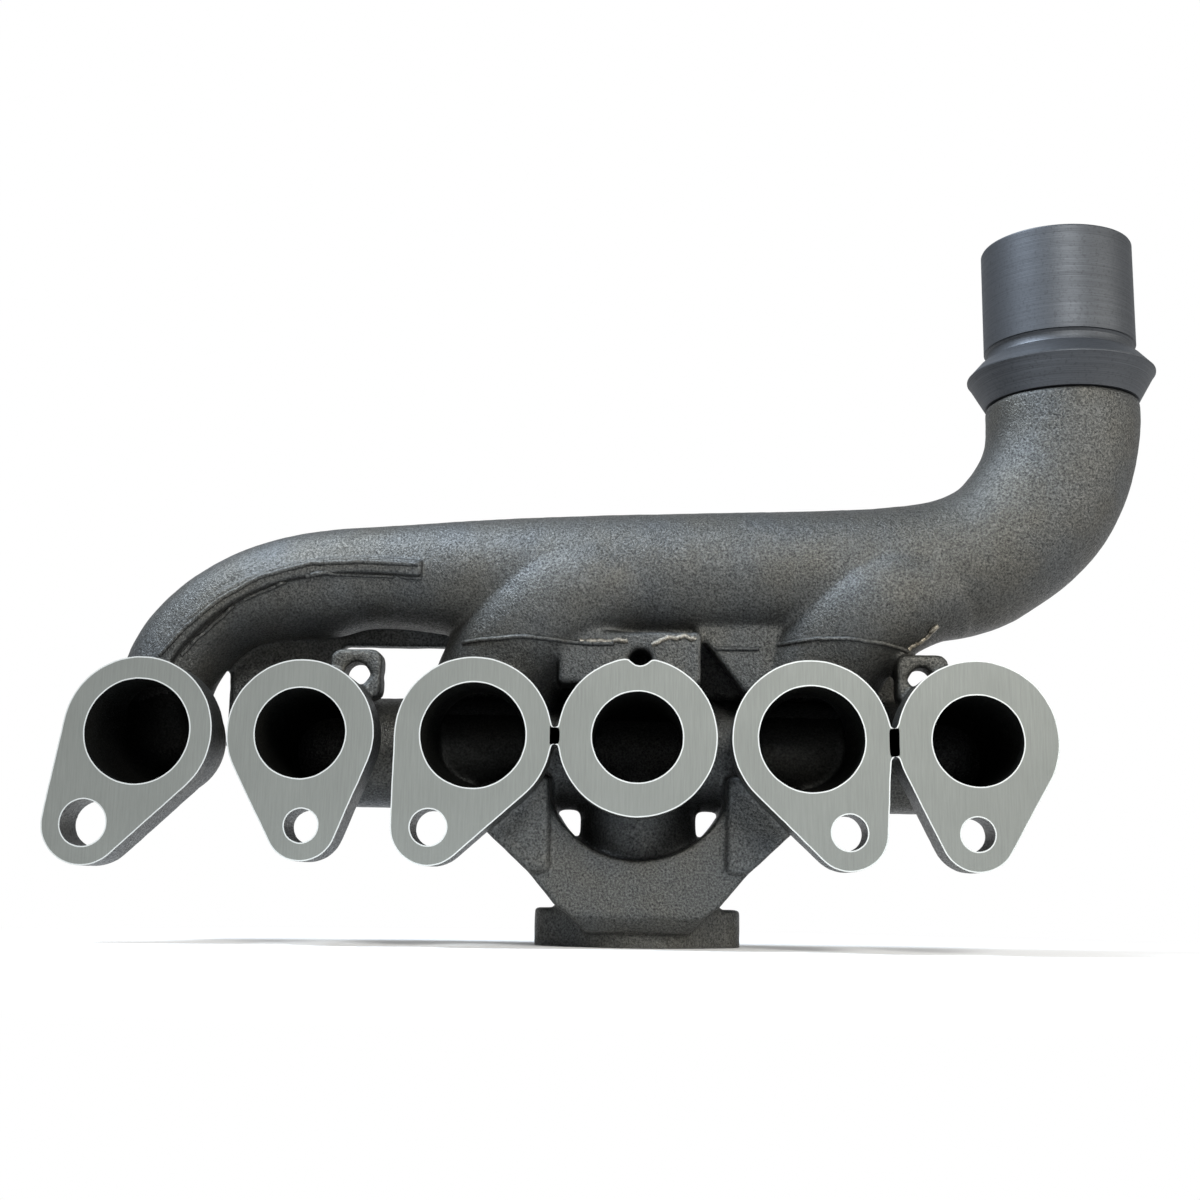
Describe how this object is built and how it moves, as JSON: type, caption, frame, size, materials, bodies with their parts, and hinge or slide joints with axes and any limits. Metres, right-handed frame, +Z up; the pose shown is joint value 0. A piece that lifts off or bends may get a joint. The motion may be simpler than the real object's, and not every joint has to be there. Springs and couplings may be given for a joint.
{
  "type": "intake and exhaust manifold",
  "caption": "Cast-iron combined intake and exhaust manifold for a small petrol engine, with a spigot outlet and a carburettor flange.",
  "frame": {"origin": "centre of the middle intake port, on the machined port face", "axes": "+X along the row of ports towards the exhaust outlet, +Y away from the cylinder head, +Z up"},
  "size_m": [0.4178, 0.085, 0.278],
  "materials": {
    "rough_casting": "rough sand-cast skin",
    "machined_face": "surface ground",
    "turned_spigot": "turned"
  },
  "bodies": {
    "root": {"exhaust_port_flange_1": "machined_face", "intake_port_flange_1": "machined_face", "exhaust_port_flange_2": "machined_face", "intake_port_flange_2": "machined_face", "exhaust_port_flange_3": "machined_face", "intake_port_flange_3": "machined_face", "intake_log": "rough_casting", "intake_runner_1": "rough_casting", "intake_runner_2": "rough_casting", "intake_runner_3": "rough_casting", "intake_riser": "rough_casting", "carburettor_flange": "rough_casting", "exhaust_collector": "rough_casting", "outlet_elbow": "rough_casting", "exhaust_runner_1": "rough_casting", "exhaust_runner_2": "rough_casting", "exhaust_runner_3": "rough_casting", "runner_rib": "rough_casting", "heat_box": "rough_casting", "heat_leg_left": "rough_casting", "heat_leg_right": "rough_casting", "stud_lug_left": "rough_casting", "stud_lug_right": "rough_casting", "stud_boss_centre": "rough_casting", "runner_gusset": "rough_casting", "log_web_left": "rough_casting", "log_web_centre": "rough_casting", "log_web_right": "rough_casting", "outlet_collar": "turned_spigot", "outlet_spigot": "turned_spigot"}
  },
  "joints": []
}
